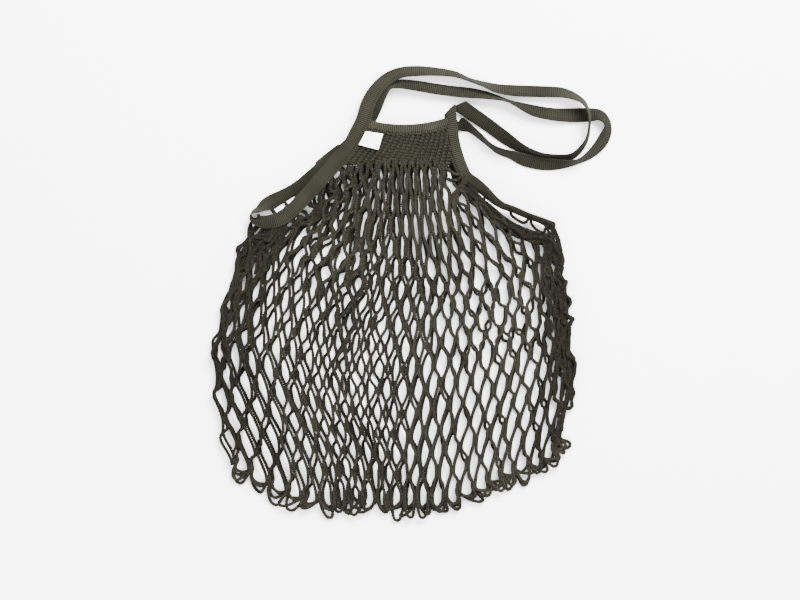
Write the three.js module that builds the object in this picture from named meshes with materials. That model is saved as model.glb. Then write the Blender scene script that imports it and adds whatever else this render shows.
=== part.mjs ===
// A string shopping bag of knotted cotton net, lying empty on its back, with two long tape handles.
// Millimetres. +Z is up from the surface that it lies on, +Y runs from the net's bottom to its neck.
import * as THREE from 'three';

// Net: the two walls, the hollow between them and the strands left between the meshes
const netWidth = 390;
const netLength = 421;
const wallThickness = 3;
const hollowDepth = 8;
const strandWidth = 7;
const meshColumns = 8;
const meshRows = 8;
const loopPitch = 21;
const loopDepth = 5;

// Neck: the gathered ribs below the neck bindings
const neckWidth = 91;
const neckSag = 7.5;
const neckBindingWidth = 11.5;
const ribBandDepth = 32;
const ribCount = 14;
const ribRelief = 1.4;

// Tape: one knitted band that binds the side slits and goes on as the handles
const tapeWidth = 15.5;
const tapeThickness = 2;
const handleLength = 500;
const joinLength = 26;

// Sewn label
const labelWidth = 22.5;
const labelLength = 16.5;
const labelThickness = 0.8;

// Space kept between pieces that touch
const seam = 0.3;

const layTop = 2 * wallThickness + hollowDepth;
const frontTapeLevel = layTop + seam - tapeThickness / 2;
const backTapeLevel = tapeThickness / 2;
// Height of the ribs' top below the neck's line, clear of the binding where it slopes
const ribTop = (neckBindingWidth / 2) * Math.hypot(1, (4 * neckSag) / neckWidth) + 4 * seam;

// Colours of the dyed cotton and of the label
const oliveNet = { color: 0x3c3a2e, roughness: 0.95, metalness: 0 };
const oliveTape = { color: 0x54523f, roughness: 0.9, metalness: 0 };
const whiteLabel = { color: 0xf4f2ee, roughness: 0.8, metalness: 0 };

// Corners where the tape leaves the neck, as shares of the neck's width from its middle
const neckCorners = {
  frontLeft: { across: -0.5, rise: 0.04 },
  frontRight: { across: 0.53, rise: 0.2 },
  backLeft: { across: -0.43, rise: 0.07 },
  backRight: { across: 0.53, rise: 0.07 },
};
// Where the two handles come back to the neck, each lapped under or over its binding
const handleEnds = {
  front: { across: 0.605, rise: 0.215 },
  back: { across: 0.61, rise: 0.02 },
};

// Corners at the foot of the side slits, as shares of the net's width and length
const slitCorners = {
  left: { across: -0.42, down: 0.235 },
  right: { across: 0.396, down: 0.262 },
};

// Bindings along the slits. Along and bow are shares of the straight line from the neck's corner to
// the slit's corner, turn rolls the tape in degrees, and drop is the share of the way to the foot.
const leftFrontRoute = [
  { along: 0.0, bow: 0.0, turn: 0, drop: 0 },
  { along: 0.1, bow: 0.041, turn: 0, drop: 0 },
  { along: 0.2, bow: 0.079, turn: 0, drop: 0 },
  { along: 0.34, bow: 0.1, turn: 0, drop: 0 },
  { along: 0.49, bow: 0.118, turn: 0, drop: 0 },
  { along: 0.65, bow: 0.138, turn: 0, drop: 0 },
  { along: 0.78, bow: 0.146, turn: 0, drop: 0.05 },
  { along: 0.87, bow: 0.132, turn: 8, drop: 0.15 },
  { along: 0.94, bow: 0.09, turn: 25, drop: 0.3 },
  { along: 0.985, bow: 0.035, turn: 40, drop: 0.42 },
];
const leftBackRoute = [
  { along: 0.0, bow: 0.0, turn: 0, drop: 0 },
  { along: 0.1, bow: 0.035, turn: 0, drop: 0 },
  { along: 0.22, bow: 0.05, turn: 0, drop: 0 },
  { along: 0.38, bow: 0.05, turn: 0, drop: 0 },
  { along: 0.52, bow: 0.055, turn: 0, drop: 0 },
  { along: 0.62, bow: 0.055, turn: 0, drop: 0 },
  { along: 0.71, bow: 0.044, turn: 0, drop: 0 },
  { along: 0.8, bow: 0.022, turn: 0, drop: 0 },
  { along: 0.88, bow: 0.004, turn: 0, drop: 0 },
  { along: 0.95, bow: -0.004, turn: 0, drop: 0 },
];
const rightFrontRoute = [
  { along: 0.0, bow: 0.0, turn: 0, drop: 0 },
  { along: 0.09, bow: -0.066, turn: 0, drop: 0 },
  { along: 0.17, bow: -0.122, turn: 0, drop: 0 },
  { along: 0.27, bow: -0.172, turn: 8, drop: 0 },
  { along: 0.38, bow: -0.2, turn: 22, drop: 0.1 },
  { along: 0.48, bow: -0.2, turn: 34, drop: 0.2 },
  { along: 0.59, bow: -0.184, turn: 42, drop: 0.25 },
  { along: 0.68, bow: -0.156, turn: 45, drop: 0.3 },
  { along: 0.77, bow: -0.118, turn: 48, drop: 0.35 },
  { along: 0.86, bow: -0.075, turn: 50, drop: 0.35 },
  { along: 0.95, bow: -0.028, turn: 50, drop: 0.35 },
];
const rightBackRoute = [
  { along: 0.0, bow: 0.0, turn: 0, drop: 0 },
  { along: 0.1, bow: -0.085, turn: 0, drop: 0 },
  { along: 0.21, bow: -0.16, turn: 0, drop: 0 },
  { along: 0.34, bow: -0.225, turn: 0, drop: 0 },
  { along: 0.47, bow: -0.262, turn: 0, drop: 0 },
  { along: 0.59, bow: -0.268, turn: 0, drop: 0 },
  { along: 0.7, bow: -0.248, turn: 0, drop: 0 },
  { along: 0.8, bow: -0.205, turn: 0, drop: 0 },
  { along: 0.87, bow: -0.15, turn: 0, drop: 0 },
  { along: 0.94, bow: -0.09, turn: 0, drop: 0 },
];

// Handles. Way is the share of the straight line between the handle's two ends, out and up are shares
// of the handle's length, turn rolls the tape in degrees, and lift is a share of the bag's lying
// height that the tape is held above the surface.
const frontHandleRoute = [
  { way: 0.0, out: 0.0, up: 0.0, turn: 0, lift: 0.87 },
  { way: 0.04, out: 0.009, up: 0.034, turn: 0, lift: 0.82 },
  { way: 0.08, out: 0.018, up: 0.062, turn: -16, lift: 0.55 },
  { way: 0.11, out: 0.035, up: 0.084, turn: -27, lift: 0.32 },
  { way: 0.14, out: 0.054, up: 0.095, turn: -41, lift: 0.1 },
  { way: 0.18, out: 0.076, up: 0.097, turn: -43, lift: 0.0 },
  { way: 0.22, out: 0.108, up: 0.096, turn: -52, lift: 0.0 },
  { way: 0.27, out: 0.141, up: 0.09, turn: -61, lift: 0.0 },
  { way: 0.3, out: 0.164, up: 0.078, turn: -70, lift: 0.0 },
  { way: 0.33, out: 0.186, up: 0.068, turn: -64, lift: 0.0 },
  { way: 0.37, out: 0.21, up: 0.057, turn: -47, lift: 0.0 },
  { way: 0.41, out: 0.241, up: 0.051, turn: -35, lift: 0.0 },
  { way: 0.47, out: 0.288, up: 0.047, turn: -35, lift: 0.02 },
  { way: 0.52, out: 0.317, up: 0.043, turn: -41, lift: 0.08 },
  { way: 0.54, out: 0.336, up: 0.035, turn: -52, lift: 0.22 },
  { way: 0.57, out: 0.352, up: 0.019, turn: -66, lift: 0.45 },
  { way: 0.6, out: 0.357, up: -0.003, turn: -76, lift: 0.56 },
  { way: 0.63, out: 0.352, up: -0.034, turn: -78, lift: 0.42 },
  { way: 0.66, out: 0.341, up: -0.062, turn: -76, lift: 0.12 },
  { way: 0.68, out: 0.323, up: -0.084, turn: -70, lift: 0.0 },
  { way: 0.71, out: 0.298, up: -0.099, turn: -68, lift: 0.0 },
  { way: 0.74, out: 0.266, up: -0.101, turn: -74, lift: 0.0 },
  { way: 0.77, out: 0.227, up: -0.098, turn: -78, lift: 0.0 },
  { way: 0.8, out: 0.195, up: -0.091, turn: -74, lift: 0.0 },
  { way: 0.83, out: 0.166, up: -0.083, turn: -57, lift: 0.0 },
  { way: 0.88, out: 0.12, up: -0.06, turn: -33, lift: 0.0 },
  { way: 0.92, out: 0.075, up: -0.034, turn: -28, lift: 0.05 },
  { way: 0.97, out: 0.031, up: -0.013, turn: -20, lift: 0.25 },
  { way: 1.0, out: 0.0, up: 0.0, turn: -5, lift: 0.59 },
];
const backHandleRoute = [
  { way: 0.0, out: 0.0, up: 0.0, turn: 0, lift: 0.0 },
  { way: 0.03, out: 0.009, up: 0.026, turn: -20, lift: 0.0 },
  { way: 0.06, out: 0.018, up: 0.051, turn: -45, lift: 0.0 },
  { way: 0.08, out: 0.027, up: 0.065, turn: -60, lift: 0.0 },
  { way: 0.11, out: 0.041, up: 0.07, turn: -57, lift: 0.0 },
  { way: 0.14, out: 0.069, up: 0.07, turn: -41, lift: 0.0 },
  { way: 0.18, out: 0.101, up: 0.065, turn: -38, lift: 0.0 },
  { way: 0.23, out: 0.13, up: 0.06, turn: -38, lift: 0.0 },
  { way: 0.27, out: 0.162, up: 0.056, turn: -41, lift: 0.0 },
  { way: 0.3, out: 0.187, up: 0.052, turn: -52, lift: 0.0 },
  { way: 0.33, out: 0.21, up: 0.046, turn: -66, lift: 0.0 },
  { way: 0.36, out: 0.226, up: 0.04, turn: -76, lift: 0.0 },
  { way: 0.38, out: 0.246, up: 0.031, turn: -61, lift: 0.0 },
  { way: 0.42, out: 0.27, up: 0.02, turn: -35, lift: 0.0 },
  { way: 0.46, out: 0.302, up: 0.013, turn: -25, lift: 0.0 },
  { way: 0.5, out: 0.333, up: 0.008, turn: -10, lift: 0.0 },
  { way: 0.54, out: 0.362, up: 0.008, turn: -10, lift: 0.0 },
  { way: 0.57, out: 0.382, up: 0.006, turn: -40, lift: 0.0 },
  { way: 0.59, out: 0.391, up: -0.01, turn: -60, lift: 0.0 },
  { way: 0.62, out: 0.379, up: -0.04, turn: -35, lift: 0.0 },
  { way: 0.67, out: 0.346, up: -0.071, turn: -52, lift: 0.0 },
  { way: 0.7, out: 0.31, up: -0.092, turn: -76, lift: 0.0 },
  { way: 0.74, out: 0.269, up: -0.098, turn: -60, lift: 0.0 },
  { way: 0.78, out: 0.221, up: -0.096, turn: -30, lift: 0.0 },
  { way: 0.82, out: 0.177, up: -0.087, turn: -30, lift: 0.0 },
  { way: 0.85, out: 0.145, up: -0.076, turn: -57, lift: 0.0 },
  { way: 0.89, out: 0.104, up: -0.06, turn: -70, lift: 0.0 },
  { way: 0.91, out: 0.084, up: -0.049, turn: -78, lift: 0.0 },
  { way: 0.94, out: 0.057, up: -0.03, turn: -72, lift: 0.0 },
  { way: 0.97, out: 0.028, up: -0.011, turn: -59, lift: 0.0 },
  { way: 1.0, out: 0.0, up: 0.0, turn: -5, lift: 0.18 },
];

// Outline of the lying net, from the left slit round the bottom to the right slit, as shares of the
// net's width and length. Band is the width of the gathered edge, as a share of the net's width.
const netEdge = [
  { across: -0.424, down: 0.267, band: 0.03 },
  { across: -0.432, down: 0.28, band: 0.055 },
  { across: -0.446, down: 0.3, band: 0.085 },
  { across: -0.47, down: 0.347, band: 0.095 },
  { across: -0.493, down: 0.418, band: 0.1 },
  { across: -0.516, down: 0.511, band: 0.09 },
  { across: -0.528, down: 0.58, band: 0.075 },
  { across: -0.526, down: 0.67, band: 0.06 },
  { across: -0.515, down: 0.745, band: 0.05 },
  { across: -0.489, down: 0.82, band: 0.045 },
  { across: -0.445, down: 0.878, band: 0.04 },
  { across: -0.386, down: 0.918, band: 0.036 },
  { across: -0.31, down: 0.95, band: 0.032 },
  { across: -0.235, down: 0.97, band: 0.03 },
  { across: -0.16, down: 0.982, band: 0.028 },
  { across: -0.08, down: 0.982, band: 0.028 },
  { across: 0.0, down: 0.984, band: 0.028 },
  { across: 0.08, down: 0.98, band: 0.028 },
  { across: 0.155, down: 0.957, band: 0.028 },
  { across: 0.23, down: 0.93, band: 0.03 },
  { across: 0.31, down: 0.905, band: 0.034 },
  { across: 0.375, down: 0.872, band: 0.04 },
  { across: 0.413, down: 0.815, band: 0.045 },
  { across: 0.438, down: 0.745, band: 0.05 },
  { across: 0.459, down: 0.675, band: 0.06 },
  { across: 0.467, down: 0.594, band: 0.07 },
  { across: 0.457, down: 0.481, band: 0.075 },
  { across: 0.443, down: 0.393, band: 0.07 },
  { across: 0.424, down: 0.335, band: 0.07 },
  { across: 0.411, down: 0.305, band: 0.05 },
  { across: 0.402, down: 0.27, band: 0.028 },
];
// How far down the net the side gathers meet the loops along the bottom, as a share of its length
const gatherFoot = 0.8;
const leftGatherFoot = netEdge.findIndex(({ down }) => down > gatherFoot);
const rightGatherFoot = netEdge.findLastIndex(({ down }) => down > gatherFoot);

const up = new THREE.Vector3(0, 0, 1);
const mix = THREE.MathUtils.lerp;

function neckPoint({ across, rise }) {
  return new THREE.Vector3(across * neckWidth, rise * neckWidth, 0);
}

function netPoint({ across, down }) {
  return new THREE.Vector3(across * netWidth, -down * netLength, 0);
}

function meshNode(name, geometry, finish) {
  geometry.computeVertexNormals();
  const node = new THREE.Mesh(geometry, new THREE.MeshStandardMaterial(finish));
  node.name = name;
  return node;
}

// A closed body whose skin joins rings of the same number of points, capped at both ends
function loftRings(rings) {
  const count = rings[0].length;
  const positions = rings.flat().flatMap((point) => point.toArray());
  const faces = [];
  for (let ring = 0; ring + 1 < rings.length; ring++) {
    for (let side = 0; side < count; side++) {
      const next = (side + 1) % count;
      const [a, b] = [ring * count + side, ring * count + next];
      faces.push(a, b, b + count, a, b + count, a + count);
    }
  }
  const last = (rings.length - 1) * count;
  for (let side = 1; side + 1 < count; side++) {
    faces.push(0, side + 1, side, last, last + side, last + side + 1);
  }
  const geometry = new THREE.BufferGeometry();
  geometry.setAttribute('position', new THREE.Float32BufferAttribute(positions, 3));
  geometry.setIndex(faces);
  return geometry;
}

// Half the height that a rolled tape takes up, which is where its middle rests over the surface
function restingHeight(turn) {
  return (tapeWidth * Math.abs(Math.sin(turn)) + tapeThickness * Math.cos(turn)) / 2;
}

// A tape's course: where its middle line runs, which way its width points, and how it is rolled
class TapeCourse {
  constructor(points, turns) {
    this.curve = new THREE.CatmullRomCurve3(points, false, 'centripetal');
    this.turns = turns;
  }

  frame(share) {
    const place = share * (this.turns.length - 1);
    const row = Math.min(Math.floor(place), this.turns.length - 2);
    const turn = THREE.MathUtils.degToRad(mix(this.turns[row], this.turns[row + 1], place - row));
    const centre = this.curve.getPoint(share);
    centre.z = Math.max(centre.z, restingHeight(turn));
    const tangent = this.curve.getTangent(share);
    const left = new THREE.Vector3().crossVectors(up, tangent).normalize();
    const width = left.clone().applyAxisAngle(tangent, turn);
    const face = new THREE.Vector3().crossVectors(tangent, width);
    return { centre, tangent, left, width, face, turn };
  }

  // A point beside the tape in plan, clear of its edge; side is 1 to its left and -1 to its right
  edge(share, side, gap) {
    const { centre, left, turn } = this.frame(share);
    const reach = (tapeWidth * Math.cos(turn) + tapeThickness * Math.abs(Math.sin(turn))) / 2 + gap;
    return centre.clone().addScaledVector(left, side * reach).setZ(0);
  }

  // The share of the course at which that edge is at a given height up the bag
  shareAtHeight(side, gap, height) {
    let [high, low] = [0, 1];
    for (let step = 0; step < 40; step++) {
      const middle = (high + low) / 2;
      if (this.edge(middle, side, gap).y > height) high = middle;
      else low = middle;
    }
    return (high + low) / 2;
  }
}

// A woven band swept along a course, with edges rounded by a bevel
function sweepTape(course, steps, width = tapeWidth, thickness = tapeThickness) {
  const [flat, half] = [width / 2 - thickness / 2, thickness / 2];
  const section = [
    { across: width / 2, over: 0 },
    { across: flat, over: half },
    { across: -flat, over: half },
    { across: -width / 2, over: 0 },
    { across: -flat, over: -half },
    { across: flat, over: -half },
  ];
  const rings = [];
  for (let step = 0; step <= steps; step++) {
    const { centre, tangent, width: along, face } = course.frame(step / steps);
    const trim = step === 0 ? seam / 2 : step === steps ? -seam / 2 : 0;
    rings.push(
      section.map(({ across, over }) =>
        centre
          .clone()
          .addScaledVector(tangent, trim)
          .addScaledVector(along, across)
          .addScaledVector(face, over),
      ),
    );
  }
  return loftRings(rings);
}

function bindingCourse(neckCorner, slitCorner, route, level) {
  const start = neckPoint(neckCorner);
  const chord = netPoint(slitCorner).sub(start);
  const aside = new THREE.Vector3(-chord.y, chord.x, 0);
  const points = route.map(({ along, bow, turn, drop }) => {
    const point = start.clone().addScaledVector(chord, along).addScaledVector(aside, bow);
    const lowest = restingHeight(THREE.MathUtils.degToRad(turn));
    return point.setZ(Math.max(lowest, mix(level, lowest, drop)));
  });
  return new TapeCourse(points, route.map(({ turn }) => turn));
}

function handleCourse(from, to, route) {
  const points = route.map(({ way, out, up: rise, turn, lift }) => {
    const point = neckPoint(from).lerp(neckPoint(to), way);
    point.x += out * handleLength;
    point.y += rise * handleLength;
    return point.setZ(restingHeight(THREE.MathUtils.degToRad(turn)) + lift * layTop);
  });
  return new TapeCourse(points, route.map(({ turn }) => turn));
}

const leftFront = bindingCourse(neckCorners.frontLeft, slitCorners.left, leftFrontRoute, frontTapeLevel);
const leftBack = bindingCourse(neckCorners.backLeft, slitCorners.left, leftBackRoute, backTapeLevel);
const rightFront = bindingCourse(neckCorners.frontRight, slitCorners.right, rightFrontRoute, frontTapeLevel);
const rightBack = bindingCourse(neckCorners.backRight, slitCorners.right, rightBackRoute, backTapeLevel);
const frontHandle = handleCourse(neckCorners.frontLeft, handleEnds.front, frontHandleRoute);
const backHandle = handleCourse(neckCorners.backLeft, handleEnds.back, backHandleRoute);

// The neck's top line between two tapes, sagging in its middle; below is how far under it
function neckLine(left, right, below, gap) {
  const leftPoint = left.edge(left.shareAtHeight(1, gap, -below), 1, gap);
  const rightPoint = right.edge(right.shareAtHeight(-1, gap, -below), -1, gap);
  return (share) => {
    const point = leftPoint.clone().lerp(rightPoint, share);
    point.y -= 4 * neckSag * share * (1 - share);
    return point;
  };
}

// The short tape over the top of the ribs, which runs in under the slit tapes at both ends
function neckBinding(left, right, level) {
  const line = neckLine(left, right, 0, -tapeWidth / 4);
  const steps = 8;
  const points = [];
  for (let step = 0; step <= steps; step++) points.push(line(step / steps).setZ(level));
  const course = new TapeCourse(points, points.map(() => 0));
  return sweepTape(course, 2 * steps, neckBindingWidth);
}

// A closed sheet between two grids of points, one on each face
function closeSheet(skin, lining) {
  const [columns, rows] = [skin.length, skin[0].length];
  const positions = [...skin, ...lining].flat().flatMap((point) => point.toArray());
  const front = (column, row) => column * rows + row;
  const back = (column, row) => (columns + column) * rows + row;
  const faces = [];
  const quad = (a, b, c, d) => faces.push(a, b, c, a, c, d);
  for (let column = 0; column + 1 < columns; column++) {
    for (let row = 0; row + 1 < rows; row++) {
      quad(front(column, row), front(column, row + 1), front(column + 1, row + 1), front(column + 1, row));
      quad(back(column, row), back(column + 1, row), back(column + 1, row + 1), back(column, row + 1));
    }
    for (const [row, flip] of [[0, false], [rows - 1, true]]) {
      const wall = [front(column, row), front(column + 1, row), back(column + 1, row), back(column, row)];
      quad(...(flip ? wall.reverse() : wall));
    }
  }
  for (const [column, flip] of [[0, true], [columns - 1, false]]) {
    for (let row = 0; row + 1 < rows; row++) {
      const wall = [front(column, row), front(column, row + 1), back(column, row + 1), back(column, row)];
      quad(...(flip ? wall.reverse() : wall));
    }
  }
  const geometry = new THREE.BufferGeometry();
  geometry.setAttribute('position', new THREE.Float32BufferAttribute(positions, 3));
  geometry.setIndex(faces);
  return geometry;
}

// Turns a closed body's faces outward where its rings ran the other way
function faceOutward(geometry) {
  const position = geometry.getAttribute('position');
  const index = geometry.getIndex().array;
  const [a, b, c] = [new THREE.Vector3(), new THREE.Vector3(), new THREE.Vector3()];
  let volume = 0;
  for (let face = 0; face < index.length; face += 3) {
    a.fromBufferAttribute(position, index[face]);
    b.fromBufferAttribute(position, index[face + 1]);
    c.fromBufferAttribute(position, index[face + 2]);
    volume += a.dot(b.cross(c));
  }
  if (volume < 0) index.reverse();
  return geometry;
}

// The gathered neck: ribs run down from the binding, raised on the wall's outer face
function ribBand(left, right, inner, outer) {
  const rows = 4;
  const stepsPerRib = 4;
  const steps = ribCount * stepsPerRib;
  const outward = Math.sign(outer - inner);
  const [skin, lining] = [[], []];
  for (let step = 0; step <= steps; step++) {
    const share = step / steps;
    const hollow = ribRelief * (0.5 + 0.5 * Math.cos(share * ribCount * 2 * Math.PI));
    const column = [];
    for (let row = 0; row <= rows; row++) {
      column.push(neckLine(left, right, ribTop + (row / rows) * ribBandDepth, seam)(share));
    }
    skin.push(column.map((point) => point.clone().setZ(outer - outward * hollow)));
    lining.push(column.map((point) => point.clone().setZ(inner)));
  }
  return faceOutward(closeSheet(skin, lining));
}

// The net's edge line: its place, its direction into the net, and the width of its gathered band
const edgeCurve = new THREE.CatmullRomCurve3(netEdge.map(netPoint), false, 'centripetal');

function netEdgeAt(place) {
  const row = Math.min(Math.floor(place), netEdge.length - 2);
  const share = place / (netEdge.length - 1);
  const tangent = edgeCurve.getTangent(share);
  return {
    point: edgeCurve.getPoint(share),
    tangent,
    inward: new THREE.Vector3().crossVectors(up, tangent).normalize(),
    band: mix(netEdge[row].band, netEdge[row + 1].band, place - row) * netWidth,
  };
}

// The bunched strands along one stretch of the edge, where the front wall turns over into the back
// wall. Depth is how far its loops stand out.
function gatheredEdge(firstRow, lastRow, stepsPerRow, depth) {
  const steps = stepsPerRow * (lastRow - firstRow);
  const length = netPoint(netEdge[firstRow]).distanceTo(netPoint(netEdge[lastRow]));
  const loops = Math.max(1, Math.round(length / loopPitch));
  const rings = [];
  for (let step = 0; step <= steps; step++) {
    const { point, tangent, inward, band } = netEdgeAt(mix(firstRow, lastRow, step / steps));
    const trim = step === 0 ? seam / 2 : step === steps ? -seam / 2 : 0;
    const out = depth * Math.abs(Math.sin((step / steps) * loops * Math.PI));
    const section = [
      { inset: band, height: 0 },
      { inset: band, height: layTop },
      { inset: band * 0.45, height: layTop },
      { inset: -out, height: layTop * 0.66 },
      { inset: -out, height: layTop * 0.3 },
      { inset: band * 0.3, height: 0 },
    ];
    const centre = point.addScaledVector(tangent, trim);
    rings.push(
      section.map(({ inset, height }) => centre.clone().addScaledVector(inward, inset).setZ(height)),
    );
  }
  return faceOutward(loftRings(rings));
}

// The closed outline of one wall of the net, inside the tapes, the ribs and the gathered edge
function wallOutline(left, right) {
  const [tapeSteps, ribSteps, edgeSteps] = [14, 8, 2 * (netEdge.length - 1)];
  const ribFoot = ribTop + ribBandDepth + 2 * seam;
  const ribLine = neckLine(left, right, ribFoot, seam);
  const neckShare = { left: left.shareAtHeight(1, seam, -ribFoot), right: right.shareAtHeight(-1, seam, -ribFoot) };
  const points = [];
  for (let step = 0; step < tapeSteps; step++) {
    points.push(left.edge(mix(1, neckShare.left, step / tapeSteps), 1, 2 * seam));
  }
  for (let step = 0; step <= ribSteps; step++) points.push(ribLine(step / ribSteps));
  for (let step = 1; step <= tapeSteps; step++) {
    points.push(right.edge(mix(neckShare.right, 1, step / tapeSteps), -1, 2 * seam));
  }
  for (let step = 0; step <= edgeSteps; step++) {
    const { point, inward, band } = netEdgeAt(mix(netEdge.length - 1, 0, step / edgeSteps));
    points.push(point.addScaledVector(inward, band + seam));
  }
  return points;
}

// Where a level line across the bag enters and leaves an outline
function spanAt(outline, height) {
  const crossings = [];
  outline.forEach((point, i) => {
    const next = outline[(i + 1) % outline.length];
    if (point.y > height === next.y > height) return;
    crossings.push(mix(point.x, next.x, (height - point.y) / (next.y - point.y)));
  });
  return { left: Math.min(...crossings), right: Math.max(...crossings) };
}

// Moves each side of a convex outline inward, so that a strand stays round the gap that is left
function insetSides(corners, distance) {
  const sides = corners.map((corner, i) => {
    const along = corners[(i + 1) % corners.length].clone().sub(corner).normalize();
    const inward = new THREE.Vector2(-along.y, along.x);
    return { start: corner.clone().addScaledVector(inward, distance), along };
  });
  return sides.map((side, i) => {
    const before = sides[(i + sides.length - 1) % sides.length];
    const across = side.start.clone().sub(before.start).cross(side.along);
    return before.start.clone().addScaledVector(before.along, across / before.along.cross(side.along));
  });
}

// A gap is left only where every side keeps its direction, so narrow meshes have thinner strands
function openMesh(corners) {
  for (let distance = strandWidth / 2; distance > strandWidth / 16; distance *= 0.85) {
    const gap = insetSides(corners, distance);
    const holds = gap.every((corner, i) => {
      const side = gap[(i + 1) % gap.length].clone().sub(corner);
      return side.dot(corners[(i + 1) % gap.length].clone().sub(corners[i])) > 0;
    });
    if (holds) return gap;
  }
  return null;
}

// Whether the net stays whole between a gap and the wall's outline, all the way round
function clearOfOutline(gap, outline) {
  const [nearest, clearance, samples] = [new THREE.Vector3(), strandWidth / 4, 10];
  return gap.every((corner, i) => {
    const next = gap[(i + 1) % gap.length];
    for (let sample = 0; sample < samples; sample++) {
      const { x, y } = corner.clone().lerp(next, sample / samples);
      const place = new THREE.Vector3(x, y, 0);
      const touches = outline.some((point, j) => {
        const side = new THREE.Line3(point, outline[(j + 1) % outline.length]);
        return side.closestPointToPoint(place, true, nearest).distanceTo(place) < clearance;
      });
      if (touches) return false;
    }
    return true;
  });
}

// The meshes: six-sided gaps in staggered rows that follow the outline's width
function meshGaps(outline) {
  const topHeight = -(ribTop + ribBandDepth + neckSag);
  const bottomHeight = Math.min(...outline.map((point) => point.y)) + strandWidth / 2;
  const margin = strandWidth / 2;
  const pitch = (topHeight - bottomHeight) / (meshRows + 0.8);
  const corners = [
    { across: 0, along: -0.8 },
    { across: 1, along: -0.2 },
    { across: 1, along: 0.2 },
    { across: 0, along: 0.8 },
    { across: -1, along: 0.2 },
    { across: -1, along: -0.2 },
  ];
  const gaps = [];
  for (let row = 1; row <= meshRows; row++) {
    const middle = topHeight - row * pitch;
    const staggered = row % 2 === 0;
    for (let column = 0; column < meshColumns - (staggered ? 1 : 0); column++) {
      const centre = column + (staggered ? 1 : 0.5);
      const mesh = corners.map(({ across, along }) => {
        const height = middle + along * pitch;
        const { left, right } = spanAt(outline, height);
        return new THREE.Vector2(mix(left + margin, right - margin, (centre + across / 2) / meshColumns), height);
      });
      const gap = openMesh(mesh);
      if (gap && clearOfOutline(gap, outline)) gaps.push(gap);
    }
  }
  return gaps;
}

// One wall of the net, with its meshes cut through
function netWall(left, right, level) {
  const outline = wallOutline(left, right);
  const shape = new THREE.Shape(outline.map(({ x, y }) => new THREE.Vector2(x, y)));
  shape.holes = meshGaps(outline).map((gap) => new THREE.Path(gap));
  const wall = new THREE.ExtrudeGeometry(shape, { depth: wallThickness, bevelEnabled: false });
  return wall.translate(0, 0, level);
}

// The lapped ends of the tape, which lie on the left back binding and stand out past its edge
function tapeJoin(course) {
  const [middle, overhang, steps] = [0.34, 1.5, 4];
  const half = joinLength / 2 / course.curve.getLength();
  const points = [];
  for (let step = 0; step <= steps; step++) {
    const { centre, left, face } = course.frame(middle + mix(-half, half, step / steps));
    points.push(centre.addScaledVector(face, tapeThickness + seam).addScaledVector(left, -overhang));
  }
  return sweepTape(new TapeCourse(points, points.map(() => 0)), 2 * steps);
}

// The woven label, on the ribs beside the left front binding
function sewnLabel() {
  const down = 17;
  const turn = THREE.MathUtils.degToRad(-16);
  const edge = leftFront.edge(leftFront.shareAtHeight(1, seam, -down), 1, labelWidth / 2 + 2);
  const label = new THREE.BoxGeometry(labelWidth, labelLength, labelThickness);
  return label.rotateZ(turn).translate(edge.x, -down, layTop + seam + labelThickness / 2);
}

const frontLevel = wallThickness + hollowDepth;
const neckUnderTape = tapeThickness + seam;
const handleSteps = 2 * (frontHandleRoute.length - 1);
const bindingSteps = 18;
const lastRow = netEdge.length - 1;

const pieces = [
  meshNode('back_net', netWall(leftBack, rightBack, 0), oliveNet),
  meshNode('front_net', netWall(leftFront, rightFront, frontLevel), oliveNet),
  meshNode('left_gather', gatheredEdge(0, leftGatherFoot, 2, 1.5), oliveNet),
  meshNode('bottom_loops', gatheredEdge(leftGatherFoot, rightGatherFoot, 5, loopDepth), oliveNet),
  meshNode('right_gather', gatheredEdge(rightGatherFoot, lastRow, 2, 1.5), oliveNet),
  meshNode('back_rib_band', ribBand(leftBack, rightBack, wallThickness, 0), oliveNet),
  meshNode('front_rib_band', ribBand(leftFront, rightFront, frontLevel, layTop), oliveNet),
  meshNode('back_neck_binding', neckBinding(leftBack, rightBack, backTapeLevel + neckUnderTape), oliveTape),
  meshNode('front_neck_binding', neckBinding(leftFront, rightFront, frontTapeLevel - neckUnderTape), oliveTape),
  meshNode('left_back_binding', sweepTape(leftBack, bindingSteps), oliveTape),
  meshNode('left_front_binding', sweepTape(leftFront, bindingSteps), oliveTape),
  meshNode('right_back_binding', sweepTape(rightBack, bindingSteps), oliveTape),
  meshNode('right_front_binding', sweepTape(rightFront, bindingSteps), oliveTape),
  meshNode('back_handle', sweepTape(backHandle, handleSteps), oliveTape),
  meshNode('front_handle', sweepTape(frontHandle, handleSteps), oliveTape),
  meshNode('tape_join', tapeJoin(leftBack), oliveTape),
  meshNode('sewn_label', sewnLabel(), whiteLabel),
];

// The bag stands over its origin: the middle of its box in plan, on the surface
const laid = new THREE.Group().add(...pieces);
const box = new THREE.Box3().setFromObject(laid);
const centre = box.getCenter(new THREE.Vector3());
laid.position.set(-centre.x, -centre.y, -box.min.z);

export default new THREE.Group().add(laid);
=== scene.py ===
from itertools import product
from math import cos, pi, radians, sin

import bmesh
import bpy
import numpy as np
from mathutils import Matrix, Vector


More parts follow.
